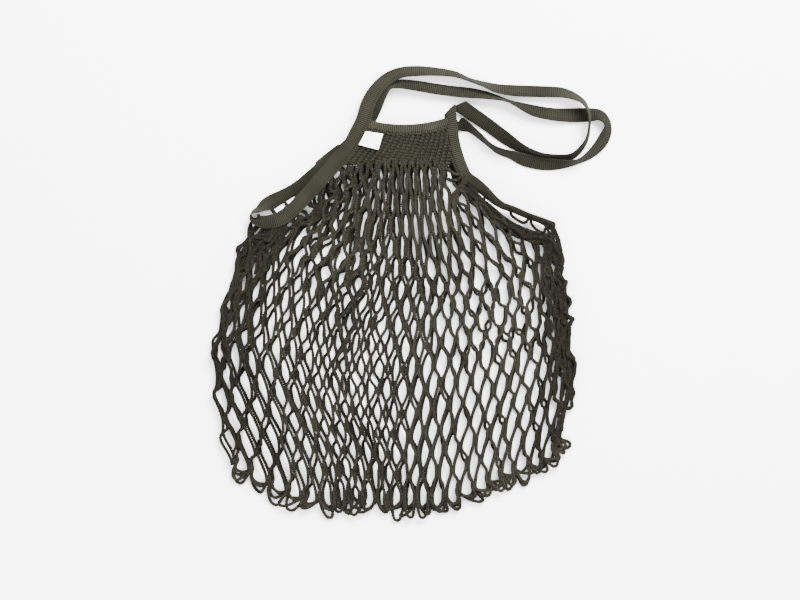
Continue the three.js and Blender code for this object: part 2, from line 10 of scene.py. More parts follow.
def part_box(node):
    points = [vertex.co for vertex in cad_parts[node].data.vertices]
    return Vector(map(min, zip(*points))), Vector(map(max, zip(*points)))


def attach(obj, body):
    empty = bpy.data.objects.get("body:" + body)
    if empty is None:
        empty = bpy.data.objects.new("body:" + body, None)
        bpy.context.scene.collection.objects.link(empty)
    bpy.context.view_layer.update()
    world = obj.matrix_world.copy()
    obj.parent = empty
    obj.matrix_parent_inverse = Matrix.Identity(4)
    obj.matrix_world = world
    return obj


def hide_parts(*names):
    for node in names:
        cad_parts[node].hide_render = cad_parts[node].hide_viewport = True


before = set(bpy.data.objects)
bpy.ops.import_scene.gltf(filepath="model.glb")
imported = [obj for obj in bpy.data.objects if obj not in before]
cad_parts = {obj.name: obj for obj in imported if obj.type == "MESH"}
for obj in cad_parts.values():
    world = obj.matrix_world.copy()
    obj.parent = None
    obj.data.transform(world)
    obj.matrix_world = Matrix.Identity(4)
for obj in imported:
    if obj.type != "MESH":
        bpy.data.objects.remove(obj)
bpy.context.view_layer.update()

# The bag lies on a plain pale floor in soft, even studio light. The camera looks straight down at it,
# from far enough away that nothing leans, and the photograph's width spans 848 mm.
MM = 0.001
VIEW_MIDDLE = (-11.3, -7.4)
VIEW_WIDTH = 848.0
VIEW_HEIGHT_OF_NET = 9.0
LENS = 85.0
SENSOR_WIDTH = 36.0
SKY_COLOUR = (1.0, 1.0, 1.0, 1.0)
SKY_STRENGTH = 3.9
# Each soft box: its name, its place, its width in metres and its power in watts
SOFTBOXES = (
    ("window_softbox", (0.6, 1.2, 1.5), 1.0, 250.0),
    ("fill_softbox", (-1.1, -0.6, 1.6), 1.6, 30.0),
)
FLOOR_REACH = 6.0
FLOOR_COLOUR = (0.93, 0.93, 0.935, 1.0)
FLOOR_ROUGHNESS = 0.9

camera_data = bpy.data.cameras.new("overhead_camera")
camera_data.lens = LENS
camera_data.sensor_width = SENSOR_WIDTH
camera_data.clip_end = 20.0
camera = bpy.data.objects.new("overhead_camera", camera_data)
camera.location = (
    VIEW_MIDDLE[0] * MM,
    VIEW_MIDDLE[1] * MM,
    (VIEW_HEIGHT_OF_NET + VIEW_WIDTH * LENS / SENSOR_WIDTH) * MM,
)
bpy.context.scene.collection.objects.link(camera)
bpy.context.scene.camera = camera

world = bpy.data.worlds.new("studio")
world.use_nodes = True
sky = world.node_tree.nodes["Background"]
sky.inputs["Color"].default_value = SKY_COLOUR
sky.inputs["Strength"].default_value = SKY_STRENGTH
bpy.context.scene.world = world

for light_name, place, size, power in SOFTBOXES:
    light_data = bpy.data.lights.new(light_name, "AREA")
    light_data.size = size
    light_data.energy = power
    light = bpy.data.objects.new(light_name, light_data)
    light.location = place
    light.rotation_euler = (-Vector(place)).to_track_quat("-Z", "Y").to_euler()
    bpy.context.scene.collection.objects.link(light)

floor_shape = bmesh.new()
bmesh.ops.create_grid(floor_shape, x_segments=1, y_segments=1, size=FLOOR_REACH)
floor_mesh = bpy.data.meshes.new("floor")
floor_shape.to_mesh(floor_mesh)
floor_shape.free()
floor = bpy.data.objects.new("floor", floor_mesh)
bpy.context.scene.collection.objects.link(floor)
floor_paint = bpy.data.materials.new("pale_floor")
floor_paint.use_nodes = True
floor_shader = floor_paint.node_tree.nodes["Principled BSDF"]
floor_shader.inputs["Base Color"].default_value = FLOOR_COLOUR
floor_shader.inputs["Roughness"].default_value = FLOOR_ROUGHNESS
floor_mesh.materials.append(floor_paint)

# The net: knitted cotton cord, made as a tube of long chains, two side by side at each joint. Each chain
# runs from the neck to the bottom and joins its left and its right neighbour in turn, so that the meshes
# between them open as diamonds. The places below are in mm, the joints' rows are half a mesh apart.
ROWS = 16
CHAINS = 48
CORD_RADIUS = 1.7
CORD_SIDES = 8
STITCH_BULGE = 0.13
RING_STEP = 1.3
CHAIN_STEP = 26.0
SHORTEST_CHAIN = 0.62 * CHAIN_STEP
JOINT_LENGTH = 6.0
CHAINS_ASIDE = 0.93 * CORD_RADIUS
FLOOR_CLEARANCE = 0.15
NECK_MIDDLE = -2.9
# Across each row: how far from the neck's middle the columns lie, in mm
COLUMNS = [0, 1.5, 3, 5, 8, 12, 16, 19, 21, 22.5, 24]
ROW_ACROSS = {
    0: [-150, -125, -98, -66, -36, -1, 34, 53, 72, 86, 100],
    2: [-152, -124, -97, -73, -40, 0, 37, 62, 84, 100, 116],
    4: [-155, -131, -111, -89, -50, 0, 47, 83, 107, 124, 140],
    6: [-176, -156, -137, -108, -59, 0, 57, 106, 130, 144, 160],
    8: [-187, -170, -150, -119, -66, 0, 61, 112, 140, 153, 167],
    10: [-200, -183, -161, -125, -68, 1, 66, 117, 146, 161, 173],
    12: [-210, -183, -155, -117, -66, 2, 67, 116, 147, 163, 176],
    14: [-206, -171, -138, -99, -56, 3, 62, 107, 140, 162, 178],
    16: [-192, -162, -131, -97, -54, 3, 61, 100, 130, 148, 158],
}
# Where each column begins below the neck or a slit, and how far up the bag its rows lie
FIRST_ROWS = [5.2, 3.8, 2.6, 0.8, 0, 0, 0, 2.6, 4.7, 5.8, 6.5]
COLUMN_TOPS = [70, 88, 109, 131, 138, 139, 140, 104, 76, 62, 56]
ROW_UP = {
    8: [24, 16, 5, -11, -31, -40, -31, -11, 6, 16, 23],
    12: [-66, -84, -99, -108, -118, -130, -117, -93, -78, -69, -53],
    16: [-168, -188, -203, -213, -219, -221, -208, -193, -182, -173, -147],
}
# The row at which each outer chain leaves the tape, counted in from either side of the net
FIRST_ROW = {"left": [5, 4, 4, 3, 3, 2, 2, 2, 1, 1], "right": [7, 6, 6, 6, 5, 5, 5, 4, 4, 3, 3, 2, 1]}
LAYERS = {
    "front": {"height": 12.2, "sag": 2.6, "seed": 11, "wander": 0.9, "shift": (0.0, 0.0), "neck_shift": 0.0},
    "back": {"height": 1.7, "sag": 0.0, "seed": 47, "wander": 0.9, "shift": (5.2, -1.5), "neck_shift": 2.4},
}
# The walls meet at this height, over this many columns at the sides and rows at the bottom
SIDE_HEIGHT = 7.0
SIDE_COLUMNS, LAST_COLUMN = 3.0, 24
CLOSING_ROWS, CLOSED_SHARE = 4.0, 0.35
# How the net was laid: a slow wander that both walls share (seed, size, reach), each wall's own one
# (size, reach), and the first rows, which the neck holds still
SHARED_DRIFT = (11, 55.0, 4.0)
OWN_DRIFT = (40.0, 1.1)
DRIFT_WAVES = 6
DRIFT_EVENING = 2.4
HELD_ROWS = 4
# The back wall's shift fades to this share past the middle, and in the lower left corner
LEAST_SHIFT, SHIFT_MIDDLE, SHIFT_SOFTNESS = 0.3, -5.0, 18.0
CORNER_ROWS, CORNER_LEFT, CORNER_HOLD = (8.8, 12.8), (75.0, 125.0), 0.8
SETTLING_PASSES = 160
PULL_SHARE = 0.5
AIM_SHARE = 0.012
# The lower left is spread outwards and the last rows hang lower: across the bag, and how far down
LEFT_SPREAD, SPREAD_ROWS, SPREAD_LEFT = 5.5, (7.2, 10.2), (132.0, 192.0)
BOTTOM_ROWS = (11.0, 16.0)
BOTTOM_DROP = (
    [-200, -175, -155, -130, -105, -80, -55, 0, 60, 100, 150, 180],
    [8, 7, 13, 17, 18, 9, 2, 1, 6, 4, 6, 3],
)
# How a chain bows out between two joints, in mm, and how unevenly the cord lies in height
MOST_BOW = 5.0
BOW_SHARES = (0.25, 0.8)
MIDDLE_BOW, MIDDLE_COLUMN, MIDDLE_REACH = 0.3, 12.0, 8.0
JOINT_LIFT, CHAIN_LIFT = 0.35, 0.5


def first_row(chain):
    left = chain < CHAINS / 2
    from_side = chain if left else CHAINS - 1 - chain
    rows = FIRST_ROW["left" if left else "right"]
    return rows[from_side] if from_side < len(rows) else 0


def joint_of(chain, row):
    """The joint that a chain passes through at a row, as a place among the net's columns."""
    return (chain // 2) + 0.5 if row % 2 == 0 else float((chain + 1) // 2)


def joint_place(row, column):
    across_rows = [np.interp(column, COLUMNS, ROW_ACROSS[key]) for key in sorted(ROW_ACROSS)]
    across = np.interp(row, sorted(ROW_ACROSS), across_rows)
    up_lines = (FIRST_ROWS, COLUMN_TOPS, *ROW_UP.values())
    first, *heights = (np.interp(column, COLUMNS, line) for line in up_lines)
    return np.array([NECK_MIDDLE + across, np.interp(row, [first, *ROW_UP], heights)])


def smooth_field(places, seed, size, reach):
    """A slow wander over the net: how far each place is carried off by the way the net was laid."""
    dice = np.random.default_rng(seed)
    moved = np.zeros_like(places)
    for _ in range(DRIFT_WAVES):
        way = dice.normal(size=2) / size
        phase, push = dice.uniform(0, 2 * pi), dice.normal(size=2)
        moved += np.sin(places @ way + phase)[:, None] * push
    return moved * reach / DRIFT_EVENING


def fade_in(values, start, full):
    """0 up to the start, and 1 from where it is in full."""
    return np.clip((values - start) / (full - start), 0, 1)


def settle_joints(layer):
    """Lets the joints of one wall settle until no chain between two of them is stretched."""
    table = {}
    for chain in range(CHAINS):
        for row in range(first_row(chain), ROWS + 1):
            table.setdefault((row, joint_of(chain, row)), len(table))
    keys = sorted(table, key=table.get)
    rows = np.array([row for row, _ in keys])
    places = np.array([joint_place(*key) for key in keys])
    dice = np.random.default_rng(layer["seed"])
    held = rows == 0
    loose = np.minimum(rows / HELD_ROWS, 1.0)[:, None]
    places += (smooth_field(places, *SHARED_DRIFT) + smooth_field(places, layer["seed"], *OWN_DRIFT)) * loose
    places += dice.normal(size=places.shape) * layer["wander"] * loose
    leftward = 1 / (1 + np.exp((places[:, :1] - SHIFT_MIDDLE) / SHIFT_SOFTNESS))
    shifted = LEAST_SHIFT + (1 - LEAST_SHIFT) * leftward
    corner = fade_in(rows[:, None], *CORNER_ROWS) * fade_in(-places[:, :1], *CORNER_LEFT)
    places += np.array(layer["shift"]) * loose * shifted * (1 - CORNER_HOLD * corner)
    places[:, :1] += layer["neck_shift"] * (1 - loose)
    aim = places.copy()
    pairs = []
    for chain in range(CHAINS):
        for row in range(first_row(chain), ROWS):
            pairs.append((table[row, joint_of(chain, row)], table[row + 1, joint_of(chain, row + 1)]))
            if row == first_row(chain) and row > 0:
                held[pairs[-1][0]] = True
    upper, lower = np.array(sorted(set(pairs))).T
    weight = np.where(held, 0.0, 1.0)
    for _ in range(SETTLING_PASSES):
        gap = places[lower] - places[upper]
        length = np.linalg.norm(gap, axis=1)
        excess = np.maximum(length - CHAIN_STEP, 0) + np.minimum(length - SHORTEST_CHAIN, 0)
        share = weight[upper] + weight[lower]
        pull = (gap / length[:, None]) * (excess / np.maximum(share, 1))[:, None] * PULL_SHARE
        np.add.at(places, upper, pull * weight[upper, None])
        np.add.at(places, lower, -pull * weight[lower, None])
        places += AIM_SHARE * (aim - places) * weight[:, None]
    spread = fade_in(-places[:, 0], *SPREAD_LEFT) * fade_in(rows, *SPREAD_ROWS)
    places[:, 1] -= fade_in(rows, *BOTTOM_ROWS) * np.interp(places[:, 0], *BOTTOM_DROP)
    places[:, 0] -= LEFT_SPREAD * spread
    return {key: places[table[key]] for key in keys}


def wall_height(layer, column, row):
    """How high one wall lies: it sags between the tapes, and meets the other wall at the sides."""
    edge = min(1.0, min(column, LAST_COLUMN - column) / SIDE_COLUMNS)
    turned = np.sin(edge * pi / 2)
    apart = 0.5 + 0.5 * np.clip((ROWS + 1.0 - row) / CLOSING_ROWS, CLOSED_SHARE, 1.0)
    level = layer["height"] - np.sin(pi * row / ROWS) * layer["sag"]
    return SIDE_HEIGHT + (level - SIDE_HEIGHT) * turned * apart


def rounded_course(points, step):
    """Even points along the smooth course through some others, by centripetal Catmull-Rom."""
    points = np.vstack([2 * points[0] - points[1], points, 2 * points[-1] - points[-2]])
    spans = []
    for a, b, c, d in zip(points, points[1:], points[2:], points[3:]):
        lengths = [max(np.linalg.norm((q - p)[:3]), 1e-3) for p, q in ((a, b), (b, c), (c, d))]
        knots = np.concatenate([[0.0], np.cumsum(np.sqrt(lengths))])
        count = max(2, int(round(lengths[1] / step)))
        t = np.linspace(knots[1], knots[2], count, endpoint=False)[:, None]

        def blend(first, second, start, end):
            whole = knots[end] - knots[start]
            return (knots[end] - t) / whole * first + (t - knots[start]) / whole * second

        ab, bc, cd = blend(a, b, 0, 1), blend(b, c, 1, 2), blend(c, d, 2, 3)
        abc = blend(ab, bc, 0, 2)
        bcd = blend(bc, cd, 1, 3)
        spans.append(blend(abc, bcd, 1, 2))
    return np.vstack(spans + [points[-2:-1]])


def lengths_along(course):
    """How far along its course each point of a cord or tape lies."""
    return np.concatenate([[0.0], np.cumsum(np.linalg.norm(np.diff(course, axis=0), axis=1))])


def cord_rings(course, radius, sides=CORD_SIDES, knots=STITCH_BULGE):
    """Rings of points round a course, thick and thin in turn where the knitted stitches bulge."""
    course = course.copy()
    course[:, 2] = np.maximum(course[:, 2], radius * (1 + knots) + FLOOR_CLEARANCE)
    tangent = np.gradient(course, axis=0)
    tangent /= np.linalg.norm(tangent, axis=1)[:, None]
    side = np.cross(tangent, [0.0, 0.0, 1.0])
    side /= np.maximum(np.linalg.norm(side, axis=1), 1e-6)[:, None]
    over = np.cross(side, tangent)
    angle = np.arange(sides) * 2 * pi / sides
    bulge = radius * (1 + knots * np.where(np.arange(len(course)) % 2, 1, -1))
    rings = course[:, None] + bulge[:, None, None] * (
        np.cos(angle)[None, :, None] * side[:, None] + np.sin(angle)[None, :, None] * over[:, None]
    )
    lay = np.stack(np.broadcast_arrays(np.cos(angle), np.sin(angle), lengths_along(course)[:, None]), axis=2)
    return rings, lay


def join_rings(name, runs, material):
    """One mesh of many round bodies, each a run of rings with its ends closed."""
    corners, lays, faces, start = [], [], [], 0
    for rings, lay in runs:
        count, sides = rings.shape[:2]
        ring_starts = start + np.arange(count - 1)[:, None] * sides
        first = ring_starts + np.arange(sides)
        turned = ring_starts + (np.arange(sides) + 1) % sides
        faces += np.stack([first, turned, turned + sides, first + sides], axis=2).reshape(-1, 4).tolist()
        faces.append(list(range(start, start + sides))[::-1])
        faces.append(list(range(start + (count - 1) * sides, start + count * sides)))
        corners.append(rings.reshape(-1, 3))
        lays.append(lay.reshape(-1, 3))
        start += count * sides
    mesh = bpy.data.meshes.new(name)
    mesh.from_pydata((np.vstack(corners) * MM).tolist(), [], faces)
    attribute = mesh.attributes.new("lay", "FLOAT_VECTOR", "POINT")
    attribute.data.foreach_set("vector", np.vstack(lays).astype(np.float32).ravel())
    mesh.polygons.foreach_set("use_smooth", np.ones(len(mesh.polygons), dtype=bool))
    shape = bmesh.new()
    shape.from_mesh(mesh)
    bmesh.ops.recalc_face_normals(shape, faces=shape.faces)
    shape.to_mesh(mesh)
    shape.free()
    mesh.materials.append(material)
    piece = bpy.data.objects.new(name, mesh)
    bpy.context.scene.collection.objects.link(piece)
    return piece


def named_group(name, inputs, outputs):
    """An empty shader node group with its sockets, and its inner nodes."""
    group = bpy.data.node_groups.new(name, "ShaderNodeTree")
    for socket, kind in inputs:
        group.interface.new_socket(socket, in_out="INPUT", socket_type=kind)
    for socket, kind in outputs:
        group.interface.new_socket(socket, in_out="OUTPUT", socket_type=kind)
    return group, group.nodes.new("NodeGroupInput"), group.nodes.new("NodeGroupOutput")


def math_node(tree, operation, *values):
    """A math node's output, with each value either a number or another node's output."""
    node = tree.nodes.new("ShaderNodeMath")
    node.operation = operation
    for socket, value in zip(node.inputs, values):
        if isinstance(value, (int, float)):
            socket.default_value = value
        else:
            tree.links.new(value, socket)
    return node.outputs[0]


def off_middle(tree, value, middle, strength):
    """How far a value lies from its middle, made stronger or weaker."""
    return math_node(tree, "MULTIPLY", math_node(tree, "SUBTRACT", value, middle), strength)


# Stitches: V-shaped loops one after another along a chain, dark with painted shade where one loop goes into
# the next
GROOVE_STEEPNESS, GROOVE_SOFTNESS = 2.6, 0.3
# Painted light and shade round each cord: lighter on its top, darker down its sides and darkest underneath
TOP_LIGHT_SHARE, SIDE_SHADE_LEVEL, UNDERSIDE_SHADE_FLOOR = 0.95, 0.25, 0.06
stitch_group, stitch_in, stitch_out = named_group(
    "chain_stitches",
    [("Lay", "NodeSocketVector"), ("Stitch", "NodeSocketFloat"), ("Slant", "NodeSocketFloat")],
    [("Height", "NodeSocketFloat"), ("SideShade", "NodeSocketFloat")],
)
split = stitch_group.nodes.new("ShaderNodeSeparateXYZ")
stitch_group.links.new(stitch_in.outputs["Lay"], split.inputs[0])
from_middle = math_node(stitch_group, "ABSOLUTE", split.outputs[0])
leaned = math_node(stitch_group, "MULTIPLY", from_middle, stitch_in.outputs["Slant"])
passed = math_node(stitch_group, "DIVIDE", split.outputs[2], stitch_in.outputs["Stitch"])
turned = math_node(stitch_group, "MULTIPLY", math_node(stitch_group, "ADD", passed, leaned), pi)
loop = math_node(stitch_group, "ABSOLUTE", math_node(stitch_group, "SINE", turned))
steep = math_node(stitch_group, "MULTIPLY", from_middle, GROOVE_STEEPNESS)
groove = math_node(stitch_group, "SMOOTH_MIN", steep, 1.0, GROOVE_SOFTNESS)
stitch_group.links.new(math_node(stitch_group, "MULTIPLY", loop, groove), stitch_out.inputs["Height"])
# The second output is painted shade: it lightens each cord's top and darkens its sides and underside
lit_top = math_node(stitch_group, "MULTIPLY", split.outputs[1], TOP_LIGHT_SHARE)
side_shade = math_node(stitch_group, "ADD", lit_top, SIDE_SHADE_LEVEL)
stitch_group.links.new(math_node(stitch_group, "MAXIMUM", side_shade, UNDERSIDE_SHADE_FLOOR), stitch_out.inputs["SideShade"])

# Lint: the short loose fibres of cotton yarn, which break up its colour and its surface
lint_group, lint_in, lint_out = named_group(
    "cotton_lint",
    [("Size", "NodeSocketFloat")],
    [("Patch", "NodeSocketFloat"), ("Fibre", "NodeSocketFloat")],
)
lint_place = lint_group.nodes.new("ShaderNodeTexCoord")
for outlet, factor, detail in (("Patch", 0.02, 2.0), ("Fibre", 1.0, 6.0)):
    noise = lint_group.nodes.new("ShaderNodeTexNoise")
    noise.inputs["Detail"].default_value = detail
    lint_group.links.new(lint_place.outputs["Object"], noise.inputs["Vector"])
    scale = math_node(lint_group, "MULTIPLY", lint_in.outputs["Size"], factor)
    lint_group.links.new(scale, noise.inputs["Scale"])
    lint_group.links.new(noise.outputs["Fac"], lint_out.inputs[outlet])


COTTON_SPECULAR = 0.03
COTTON_SHEEN, COTTON_SHEEN_ROUGHNESS = (0.75, 0.72, 0.6, 1.0), 0.6
CORD_LINT, TAPE_LINT = 650.0, 1600.0
# What a cord's tone is mixed from: its stitches' painted shade, light on their crowns and dark in their
# grooves, its specks of lint about their mean, and its patches
STITCH_SHADE_TONE, LINT_MEAN, PATCH_TONE = 0.62, 0.42, 0.7
CORD_FUZZ, CORD_RELIEF = 0.35, 0.9


def cotton_material(name, shade, light, roughness, sheen, lint_size):
    """A dyed cotton finish that goes from its shade to its light colour with the mask it is given."""
    material = bpy.data.materials.new(name)
    material.use_nodes = True
    tree = material.node_tree
    shader = tree.nodes["Principled BSDF"]
    shader.inputs["Roughness"].default_value = roughness
    shader.inputs["Specular IOR Level"].default_value = COTTON_SPECULAR
    shader.inputs["Sheen Weight"].default_value = sheen
    shader.inputs["Sheen Roughness"].default_value = COTTON_SHEEN_ROUGHNESS
    shader.inputs["Sheen Tint"].default_value = COTTON_SHEEN
    ramp = tree.nodes.new("ShaderNodeMix")
    ramp.data_type = "RGBA"
    ramp.inputs["A"].default_value = (*shade, 1.0)
    ramp.inputs["B"].default_value = (*light, 1.0)
    tree.links.new(ramp.outputs["Result"], shader.inputs["Base Color"])
    bump = tree.nodes.new("ShaderNodeBump")
    tree.links.new(bump.outputs["Normal"], shader.inputs["Normal"])
    lint = tree.nodes.new("ShaderNodeGroup")
    lint.node_tree = lint_group
    lint.inputs["Size"].default_value = lint_size
    lay = tree.nodes.new("ShaderNodeAttribute")
    lay.attribute_name = "lay"
    return material, tree, ramp, bump, lint, lay


def stitched_cotton(name, shade, light, stitch, slant, depth, flecks):
    """Knitted cord with painted light and shade: lighter on its stitches' crowns, painted shade in their
    grooves and down its sides.
    """
    material, tree, ramp, bump, lint, lay = cotton_material(name, shade, light, 0.95, 0.01, CORD_LINT)
    stitches = tree.nodes.new("ShaderNodeGroup")
    stitches.node_tree = stitch_group
    stitches.inputs["Stitch"].default_value = stitch
    stitches.inputs["Slant"].default_value = slant
    tree.links.new(lay.outputs["Vector"], stitches.inputs["Lay"])
    # The stitches' relief goes into the colour as painted shade in their grooves, and the whole tone is
    # darkened down the cord's sides by painted shade
    stitch_relief_shade = math_node(tree, "MULTIPLY", stitches.outputs["Height"], STITCH_SHADE_TONE)
    specks = off_middle(tree, lint.outputs["Fibre"], LINT_MEAN, flecks)
    patches = off_middle(tree, lint.outputs["Patch"], 0.5, PATCH_TONE)
    tone = math_node(tree, "ADD", math_node(tree, "ADD", stitch_relief_shade, specks), patches)
    tree.links.new(math_node(tree, "MULTIPLY", tone, stitches.outputs["SideShade"]), ramp.inputs["Factor"])
    fuzz = math_node(tree, "MULTIPLY", lint.outputs["Fibre"], CORD_FUZZ)
    tree.links.new(math_node(tree, "ADD", stitches.outputs["Height"], fuzz), bump.inputs["Height"])
    bump.inputs["Strength"].default_value = CORD_RELIEF
    bump.inputs["Distance"].default_value = depth
    return material


NET_STITCH, NET_SLANT = 2.6, 0.7
net_cotton = stitched_cotton(
    "net_cotton", (0.0005, 0.0004, 0.0003), (0.0185, 0.0172, 0.0125), NET_STITCH, NET_SLANT, 0.0006, 2.6
)


def chain_course(joints, layer, chain, tape_start):
    """The course of one chain: down through its joints, beside its neighbour in each of them."""
    dice = np.random.default_rng(layer["seed"] * 1000 + chain)
    points = []
    rows = range(first_row(chain), ROWS + 1)
    for row in rows:
        column = joint_of(chain, row)
        place = joints[row, column]
        above = [joints[key] for key in ((row - 1, column - 0.5), (row - 1, column + 0.5)) if key in joints]
        below = [joints[key] for key in ((row + 1, column - 0.5), (row + 1, column + 0.5)) if key in joints]
        downward = np.mean(below or [place], axis=0) - np.mean(above or [place], axis=0)
        downward /= np.linalg.norm(downward)
        beside = np.array([-downward[1], downward[0]])
        is_left = chain % 2 == (0 if row % 2 == 0 else 1)
        aside = beside * CHAINS_ASIDE * (-1 if is_left else 1)
        height = wall_height(layer, column, row) + dice.normal() * JOINT_LIFT
        if points:
            last = points[-1]
            gap = np.linalg.norm(place - last[:2]) + 1e-6
            slack = max(CHAIN_STEP - JOINT_LENGTH / 2 - gap, 0.0)
            # A shallow arc rises by the root of 3/8 of its chord times its slack
            bow = min(np.sqrt(0.375 * gap * slack), MOST_BOW)
            bow *= dice.uniform(*BOW_SHARES) * dice.choice([-1, 1])
            bow *= MIDDLE_BOW + (1 - MIDDLE_BOW) * min(1.0, abs(column - MIDDLE_COLUMN) / MIDDLE_REACH)
            across = (place - last[:2]) / gap
            middle = (place + last[:2]) / 2 + np.array([-across[1], across[0]]) * bow
            points.append(np.array([*middle, (last[2] + height) / 2 + dice.normal() * CHAIN_LIFT]))
        for reach in (-0.5, 0.5):
            points.append(np.array([*(place + aside + downward * JOINT_LENGTH * reach), height]))
    if tape_start is not None:
        points.insert(0, tape_start(points[0]))
    return np.array(points)


# Tape courses from the neck down to the foot of each slit: across the bag, up it, height and roll. The
# chains that begin at a slit are sewn in this far under the tape, and lie below or above its middle.
SEWN_IN = 5.0
SEWN_LEVEL = {"front": -1.6, "back": 0.3}
SLIT_COURSES = {
    "left_front": [
        (-50.5, 182.8, 13.3, 0), (-58.1, 167.7, 13.3, 0), (-66.0, 153.0, 13.3, 0), (-80.5, 136.1, 13.3, 0),
        (-96.4, 118.6, 13.3, 0), (-113.2, 99.8, 13.3, 0), (-127.8, 85.6, 12.7, 0), (-139.9, 78.0, 11.6, 8),
        (-152.5, 75.4, 10.4, 22), (-162, 76.4, 9.6, 46),
    ],
    "left_back": [
        (-44.1, 185.6, 1.2, 0), (-52.9, 170.7, 1.2, 0), (-66.3, 156.2, 1.2, 0), (-86.2, 139.3, 1.2, -12),
        (-104.2, 125.0, 1.2, -32), (-116.8, 114.8, 1.2, -42), (-129.2, 106.8, 1.2, -40),
        (-142.3, 99.7, 1.6, -22), (-152.8, 94.2, 4.4, 18), (-161.2, 88.6, 7.6, 62),
    ],
    "right_front": [
        (41.4, 194.6, 11.8, 40), (41.7, 189.6, 13.0, 36), (42.6, 178.8, 13.3, 32), (44.4, 162.6, 13.3, 28),
        (49.0, 144.4, 13.0, 26), (53.5, 133.0, 12.6, 32), (59.1, 123.0, 12.2, 40), (69.2, 115.6, 11.8, 43),
        (79.3, 107.1, 11.4, 50), (88.3, 98.6, 11.2, 60), (96.8, 92.8, 11.0, 66), (108.4, 88.6, 10.8, 68),
        (123.3, 82.2, 10.6, 69), (139.2, 76.4, 10.2, 68), (148.0, 72.0, 9.4, 56), (152.0, 69.5, 8.8, 44),
    ],
    "right_back": [
        (43.2, 185.6, 1.2, 0), (43.9, 164.9, 1.2, 0), (46.9, 144.1, 1.3, 4), (51.5, 124.5, 2.0, 12),
        (60.5, 109.0, 3.4, 25), (72.0, 96.5, 4.6, 36), (83.5, 87.5, 4.8, 38), (95.5, 77.0, 4.8, 38),
        (108.5, 68.5, 4.8, 38), (122.0, 62.5, 4.6, 36), (137.0, 58.0, 4.2, 32), (147.0, 56.5, 4.0, 30),
    ],
}


def tape_anchor(side, wall):
    """Gives the nearest place on a slit's tape, where a chain's end is sewn in under the tape."""
    course = rounded_course(np.array(SLIT_COURSES[f"{side}_{wall}"], dtype=float)[:, :3], 2.0)

    def anchor(point):
        nearest = course[np.argmin(np.linalg.norm(course[:, :2] - point[:2], axis=1))]
        inward = point[:2] - nearest[:2]
        inward *= SEWN_IN / max(np.linalg.norm(inward), SEWN_IN)
        return np.array([*(nearest[:2] + inward), nearest[2] + SEWN_LEVEL[wall]])

    return anchor


walls = {}
for wall, layer in LAYERS.items():
    joints = settle_joints(layer)
    anchors = {"left": tape_anchor("left", wall), "right": tape_anchor("right", "back")}
    walls[wall] = {}
    for chain in range(CHAINS):
        start = None
        if first_row(chain) > 0:
            start = anchors["left" if chain < CHAINS / 2 else "right"]
        walls[wall][chain] = chain_course(joints, layer, chain, start)


def cord_runs(courses, radius=CORD_RADIUS):
    """The rings of many cords of one thickness, each along its own course."""
    return [cord_rings(rounded_course(np.array(course), RING_STEP), radius) for course in courses]


SIDE_CHAINS = 7
for wall in walls:
    courses = [walls[wall][chain] for chain in range(SIDE_CHAINS, CHAINS - SIDE_CHAINS)]
    piece = join_rings(f"{wall}_wall_net", cord_runs(courses), net_cotton)
    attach(piece, "root")
    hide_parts(f"{wall}_net")

# The sides, where the net turns over from the front wall to the back one. Its outer chains, of the same
# knitted cord, lie bunched and curled on one another there, and along the right slit in a thick twisted
# bundle.
BUNCHES = {
    "left": {
        "node": "left_gather", "own": range(SIDE_CHAINS), "rows": (4, 12), "seed": 5,
        "chains": [0, 1, 0, 2, 1, 3, 0, 2, 1, 4, 3, 5, 4, 0, 1, 2, 0, 1, 3],
    },
    "right": {
        "node": "right_gather", "own": range(CHAINS - SIDE_CHAINS, CHAINS), "rows": (4, 9), "seed": 8,
        "chains": [47, 46, 47, 45, 46, 47, 44, 46, 45, 47, 43, 46, 44, 47, 46, 47, 45],
    },
}
# How far the bunched chains stray, and between which heights they lie
BUNCH_CURL, BUNCH_HEIGHTS = 2.6, (3.0, 12.5)
SLIT_BUNDLE = 6
BUNDLE_WIDTH, BUNDLE_CURL, BUNDLE_HEIGHTS = 3.5, 2.0, (8.0, 13.0)
SLIT_FAN = [5, 6, 7, 8, 9, 10, 11, 12, 13, 14, 15, 16] * 2
FAN_ROWS, FAN_CURL, FAN_HEIGHTS = (3, 6), 2.4, (5.0, 10.5)
# Threads that hang between the tapes' lower ends and the bunched chains
SLIT_THREADS = (
    ((80.0, 107.0, 12.0), (78.5, 101.0, 9.5), (76.0, 95.0, 7.0)),
    ((105.0, 91.0, 12.0), (106.5, 83.5, 9.0), (113.0, 77.5, 8.0), (120.5, 74.5, 8.5), (127.0, 81.0, 12.0)),
    ((127.0, 81.0, 12.0), (128.5, 72.5, 9.0), (134.5, 66.5, 8.0), (141.0, 64.0, 8.5), (143.5, 73.5, 12.0)),
    ((144.0, 74.0, 9.0), (146.0, 66.0, 8.5), (148.0, 58.0, 8.0), (150.0, 46.0, 8.0)),
    ((148.0, 72.5, 9.0), (150.0, 65.0, 8.5), (151.5, 57.0, 8.0), (153.0, 44.0, 8.0)),
    ((151.0, 71.5, 8.5), (153.5, 64.0, 8.0), (155.5, 55.0, 7.5), (157.0, 42.0, 7.0)),
    ((151.5, 70.5, 6.5), (155.5, 62.0, 6.0), (158.5, 52.0, 6.0), (160.0, 38.0, 6.0)),
)
